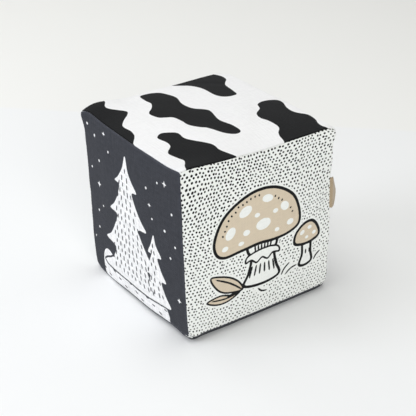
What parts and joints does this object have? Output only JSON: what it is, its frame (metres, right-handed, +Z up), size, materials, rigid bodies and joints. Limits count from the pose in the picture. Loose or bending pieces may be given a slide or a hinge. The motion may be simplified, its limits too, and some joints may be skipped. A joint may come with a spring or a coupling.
{
  "type": "soft fabric block",
  "caption": "Soft sewn baby block: square printed cotton panels over a foam core, with a folded tape tab in one upright seam.",
  "frame": {"origin": "middle of the flat patch under the block, on the surface that it stands on", "axes": "+Z up; -Y out of the dotted front panel; +X towards the right panel, where the tape tab is folded"},
  "size_m": [0.1105, 0.1108, 0.1089],
  "materials": {
    "dotted_canvas": "plain-weave cotton, off-white ground with small dark dots",
    "charcoal_canvas": "plain-weave cotton, charcoal ground with small white stars and dots",
    "patched_canvas": "plain-weave cotton, white ground with black wavy patches",
    "foam": "open-cell foam, cut",
    "sewing_thread": "spun polyester thread",
    "twill_tape": "undyed cotton twill tape"
  },
  "bodies": {
    "block": {"front_panel": "dotted_canvas", "left_panel": "charcoal_canvas", "top_panel": "patched_canvas", "right_panel": "patched_canvas", "back_panel": "dotted_canvas", "bottom_panel": "charcoal_canvas", "foam_core": "foam", "seam_thread_front_left": "sewing_thread", "seam_thread_back_left": "sewing_thread", "seam_thread_bottom_left": "sewing_thread", "seam_thread_top_left": "sewing_thread", "seam_thread_front_right_lower": "sewing_thread", "seam_thread_front_right_upper": "sewing_thread", "seam_thread_back_right": "sewing_thread", "seam_thread_bottom_right": "sewing_thread", "seam_thread_top_right": "sewing_thread", "seam_thread_bottom_front": "sewing_thread", "seam_thread_top_front": "sewing_thread", "seam_thread_bottom_back_left": "sewing_thread", "seam_thread_bottom_back_right": "sewing_thread", "seam_thread_top_back": "sewing_thread", "closing_thread": "sewing_thread", "tape_tab_root": "twill_tape"},
    "tab": {"tape_tab_loop": "twill_tape"}
  },
  "joints": [
    {"name": "tab_fold", "type": "hinge", "parent": "block", "child": "tab", "pos_m": [0.05052, -0.05252, 0.06378], "axis": [0, 0, 1], "range_deg": [-198, 32]}
  ]
}
